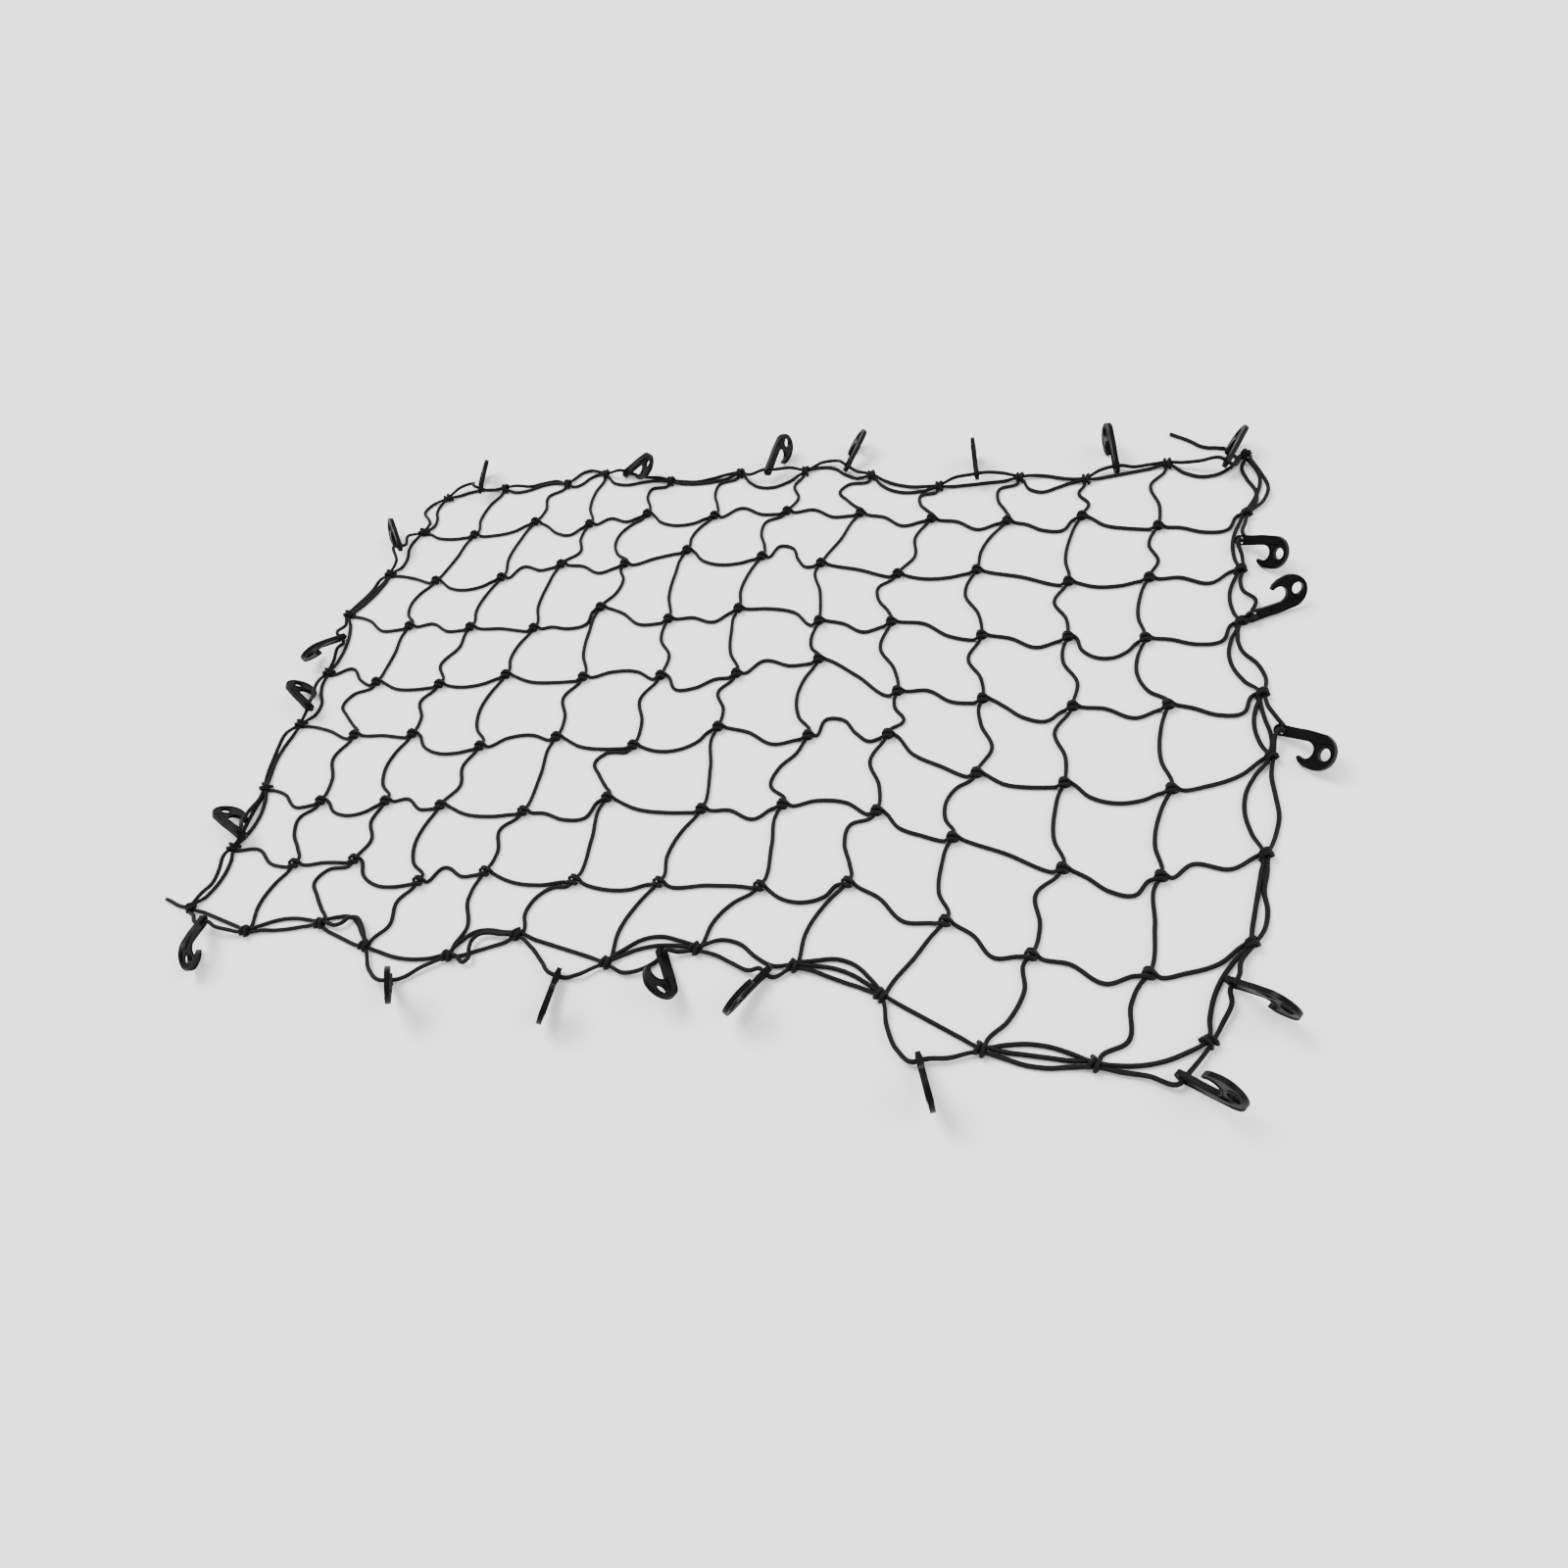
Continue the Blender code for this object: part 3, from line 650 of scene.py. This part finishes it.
# Places are (along the shank, towards the beak) from the middle of the eye.
HOOK_THICK = 0.008
BASE_AT = (-0.0045, 0)     # the rounded end round the eye
BASE_RADIUS = 0.009
BASE_ARC = (90, 270, 4)    # from and to in degrees, and the solid's steps
EYE_HOLE = 0.0065
SHANK_BACK = ((0.022, -0.0095), (0.042, -0.011))    # its bowed outer edge
SHANK_FRONT = (0.032, 0.0065)                       # its inner edge
CROWN_AT = (0.066, 0.017)
CROWN_RADIUS = 0.0275
CROWN_ARC = (-95, 100, 6)
BEAK = ((0.050, 0.0425), (0.041, 0.038), (0.036, 0.032), (0.0385, 0.0286))
MOUTH_AT = (0.0475, 0.0185)
MOUTH_RADIUS = 0.0127
MOUTH_ARC = (110, -90, 5)
HOLE_AT = (0.078, 0.018)
HOLE_RADIUS = 0.0095
RIM_WIDE = 0.0016          # raised rim round every edge
WEB_DEEP = 0.0012          # how far the flat between the rims is sunk
EDGE_ROUND = 0.0006
FINE = 4                   # steps here for each step of the solid's arcs
EYE_STEPS = 24
HOLE_STEPS = 30
SHARP = 40                 # edges that turn by more than this are rounded
GRAIN = (1800, 3)          # scale and detail of a noise
CLOUD = (60, 4)
PLASTIC = {
    "dark": (0.001, 0.001, 0.001), "light": (0.003, 0.003, 0.0032), "sheen": 0.07,
    "rough": 0.25, "rougher": 0.3, "deep": 0.00008, "strength": 0.4,
}


def arc(middle, radius, start, end, count):
    """Points of an arc, in degrees."""
    points = []
    for k in range(count):
        turn = math.radians(start + (end - start) * k / (count - 1))
        points.append((middle[0] + radius * math.cos(turn),
                       middle[1] + radius * math.sin(turn)))
    return points


def hook_outline(fine=1):
    """The outline from the base round the back; fine multiplies its arcs' steps."""
    base, crown, mouth = (
        arc(middle, radius, start, end, steps * fine + 1)
        for middle, radius, (start, end, steps) in (
            (BASE_AT, BASE_RADIUS, BASE_ARC),
            (CROWN_AT, CROWN_RADIUS, CROWN_ARC),
            (MOUTH_AT, MOUTH_RADIUS, MOUTH_ARC)))
    return [*base, *SHANK_BACK, *crown, *BEAK, *mouth, SHANK_FRONT]


def hook_shape():
    """A hook in its own plane, with rims that stand round a sunk web."""
    bm = bmesh.new()
    loops = (
        hook_outline(FINE),
        arc((0, 0), EYE_HOLE, 0, 360, EYE_STEPS + 1)[:-1],
        arc(HOLE_AT, HOLE_RADIUS, 0, 360, HOLE_STEPS + 1)[:-1],
    )
    edges = []
    for loop in loops:
        verts = [bm.verts.new((u, v, -HOOK_THICK / 2)) for u, v in loop]
        for k, vert in enumerate(verts):
            edges.append(bm.edges.new((vert, verts[(k + 1) % len(verts)])))
    bmesh.ops.triangle_fill(bm, use_beauty=True, edges=edges)
    under = list(bm.faces)
    made = bmesh.ops.extrude_face_region(bm, geom=under, use_keep_orig=True)
    over = [item for item in made["geom"] if isinstance(item, bmesh.types.BMFace)]
    moved = [item for item in made["geom"] if isinstance(item, bmesh.types.BMVert)]
    bmesh.ops.translate(bm, verts=moved, vec=(0, 0, HOOK_THICK))
    bmesh.ops.recalc_face_normals(bm, faces=bm.faces)
    for faces in (over, under):
        bmesh.ops.inset_region(bm, faces=faces, thickness=RIM_WIDE, depth=0,
                               use_even_offset=True, use_boundary=True)
        bmesh.ops.inset_region(bm, faces=faces, thickness=EDGE_ROUND, depth=-WEB_DEEP,
                               use_even_offset=True, use_boundary=True)
    return bm


def hook_frame(heading, pitch, roll):
    """Turns the hook's own u, v, w into the world's axes."""
    turn, climb, twist = (math.radians(a) for a in (heading, pitch, roll))
    shank = Vector((math.cos(turn) * math.cos(climb),
                    math.sin(turn) * math.cos(climb), math.sin(climb)))
    level = Vector((-math.sin(turn), math.cos(turn), 0))
    beak = level * math.cos(twist) + shank.cross(level) * math.sin(twist)
    through = shank.cross(beak)
    return Matrix((shank, beak, through)).transposed()


def hook_place(side, number, share, outward, heading, pitch, roll):
    """(matrix, eye, way through the eye) of a hook resting on the floor."""
    eye = edge_point(side, number, clockwise(side, share), outward)
    turned = hook_frame(heading, pitch, roll)
    low = min((turned @ Vector((u, v, w))).z
              for u, v in hook_outline() for w in (-HOOK_THICK / 2, HOOK_THICK / 2))
    eye.z = -low
    way = turned @ Vector((0, 0, 1))
    return Matrix.Translation(eye) @ turned.to_4x4(), eye, way


def plastic_material():
    """Black moulded plastic: satin, faintly pebbled and cloudy."""
    made, tree, shader = new_material("hook plastic")
    cloud = noise(tree, *CLOUD)
    dress(tree, shader, PLASTIC, cloud, cloud, noise(tree, *GRAIN))
    return made


HOOK_PLASTIC = plastic_material()
for name, *place in HOOKS:
    bm = hook_shape()
    matrix, _, _ = hook_place(*place)
    bmesh.ops.transform(bm, matrix=matrix, verts=bm.verts)
    mesh = bpy.data.meshes.new(name + "_moulding")
    bm.to_mesh(mesh)
    bm.free()
    mesh.materials.append(HOOK_PLASTIC)
    hook = put(name + "_moulding", mesh)
    soften = hook.modifiers.new("rounded edges", "BEVEL")
    soften.width = EDGE_ROUND
    soften.segments = 2
    soften.limit_method = "ANGLE"
    soften.angle_limit = math.radians(SHARP)
    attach(hook, "root")
    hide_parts(name)

# ---------------------------------------------------------------- outer edge strand
# The outer strand of the edge, one closed cord that is drawn through every
# hook's eye and passes through the turns of each edge knot beside the inner one.
EYE_THROUGH = 0.009        # it runs straight this far each side of a hook's eye
EYE_NEAR = 0.021           # no sample of its bow lies nearer to the eye
EYE_PULL = 0.12            # how far along the eye lifts and draws it
SIDE_BY_SIDE = 0.0076      # least distance from the inner strand
SLOPE_STEP = 0.05          # share of a mesh over which a strand's slant is taken
# Bow outward and wave of each mesh of a side, in millimetres.
OUTER = {
    "back": ((45, 5, 35, 20, -5, 10, 25, -10, 40, 10, 30, 5),
             (20, 0, 0, 10, -5, -10, 15, 0, 10, 5, 15, 5)),
    "right": ((35, -5, 10, 0, 20, 15, 10, 10),
              (-10, 0, -15, -15, -5, -5, -10, -5)),
    "front": ((10, 5, 0, 55, -5, 35, 10, 15, 0, 65, 15, 35),
              (0, 0, 0, 10, 0, -10, 15, -5, 0, 0, 0, -10)),
    "left": ((30, 20, 0, 0, 5, 10, 20, -20),
             (20, 10, -5, 0, 5, 0, -5, 0)),
}


def inner_room(side, number, share):
    """Least distance outward of the inner strand, more where it runs aslant."""
    start, end = mesh_ends(side, number)
    before, after = (inner_off(side, number, share + step)
                     for step in (-SLOPE_STEP, SLOPE_STEP))
    slope = (after - before) / (2 * SLOPE_STEP * (end - start).length * MM)
    return (inner_off(side, number, share)
            + SIDE_BY_SIDE * MM * math.sqrt(1 + slope * slope))


def outer_off(side, number, share):
    """How far outward the outer strand lies, clear of the inner one."""
    bows, waves = OUTER[side]
    wanted = sway(bows[number], waves[number], clockwise(side, share))
    return max(wanted, inner_room(side, number, share))


hook_eyes = {}
for _, side, number, share, outward, *pose in HOOKS:
    _, eye, way = hook_place(side, number, share, outward, *pose)
    hook_eyes[side, number] = (clockwise(side, share), outward, eye, way)


def outer_mesh(side, number):
    """The outer strand along one mesh, clockwise, drawn to the hook's eye if any."""
    start, end = mesh_ends(side, number)
    along = (end - start).normalized()
    length = (end - start).length
    hook = hook_eyes.get((side, number))
    points = []
    for share in EDGE_SAMPLES:
        off = outer_off(side, number, share)
        if hook:
            at, outward, _, _ = hook
            if abs(share - at) * length < EYE_NEAR:
                continue
            pull = max(0, 1 - abs(share - at) * length / EYE_PULL)
            off += (outward - outer_off(side, number, at)) * pull
            off = max(off, inner_room(side, number, share))
        point = edge_point(side, number, share, off)
        rise = 0
        for _, _, near, _ in hook_eyes.values():
            far = math.hypot(near.x - point.x, near.y - point.y)
            rise = max(rise, (near.z - CORD_RADIUS) * (1 - far / EYE_PULL))
        points.append((share, (point.x, point.y, CORD_RADIUS + rise, CORD_RADIUS)))
    if hook:
        at, _, eye, way = hook
        if way.dot(along) < 0:
            way = -way
        for step in (-EYE_THROUGH, 0, EYE_THROUGH):
            point = eye + way * step
            points.append((at + step / length,
                           (point.x, point.y, max(point.z, CORD_RADIUS), CORD_RADIUS)))
    return [point for _, point in sorted(points)]


outer_line = []
for side in SIDES:
    for number in side_numbers(side):
        outer_line.append(through_knot(*side_mesh(side, number)[0], OUTER_PASS))
        outer_line.extend(outer_mesh(side, number))
outer_lines = [(soft_line(outer_line, closed=True), True)]
CORNERS = ((0, 0), (0, COLUMNS - 1), (ROWS - 1, 0), (ROWS - 1, COLUMNS - 1))
loose_starts = {(row, column): route[0] for _, row, column, _, route in LOOSE_ENDS}
# The strands are tied together at each corner, and a loose end starts from its tie.
for corner in CORNERS:
    middle = knot_at(*corner)
    tie = at_knot(END_WRAP[1:], middle, outward_way(*corner))
    if corner in loose_starts:
        start = middle + Vector((*loose_starts[corner], CORD_RADIUS))
        tie[-2:] = [(*start, CORD_RADIUS)]
    outer_lines.append((soft_line(tie), False))
outer_strand = cord_mesh("outer_edge_strand", outer_lines)
outer_strand.data.materials.append(EDGE_CORD)
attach(outer_strand, "root")
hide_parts("edge_cord")

# ---------------------------------------------------------------- floor and light
# A plain pale floor under soft studio light: one broad light from the back left,
# a weaker one from the right, and an even sky.
FLOOR_REACH = 12           # metres each way
FLOOR_SHADE = 0.93
FLOOR_ROUGH = 0.8
SKY_SHADE = 0.95
SKY_STRENGTH = 1.2
#   name, way the light comes from, strength, softness in degrees
SUNS = (
    ("key light", (-1.0, 0.6, 1.5), 4.5, 35),
    ("side light", (1.6, 0.3, 1.0), 2.4, 50),
)

floor_mesh = bpy.data.meshes.new("floor")
bm = bmesh.new()
bmesh.ops.create_grid(bm, x_segments=1, y_segments=1, size=FLOOR_REACH)
bm.to_mesh(floor_mesh)
bm.free()
floor = put("floor", floor_mesh)
floor_paint, _, floor_shader = new_material("pale floor")
floor_shader.inputs["Base Color"].default_value = (*[FLOOR_SHADE] * 3, 1)
floor_shader.inputs["Roughness"].default_value = FLOOR_ROUGH
floor_mesh.materials.append(floor_paint)

for name, source, strength, softness in SUNS:
    light = bpy.data.lights.new(name, "SUN")
    light.energy = strength
    light.angle = math.radians(softness)
    lamp = put(name, light)
    lamp.rotation_euler = (-Vector(source)).to_track_quat("-Z", "Y").to_euler()
world = bpy.data.worlds.new("studio")
world.use_nodes = True
sky = world.node_tree.nodes["Background"]
sky.inputs["Color"].default_value = (*[SKY_SHADE] * 3, 1)
sky.inputs["Strength"].default_value = SKY_STRENGTH
bpy.context.scene.world = world
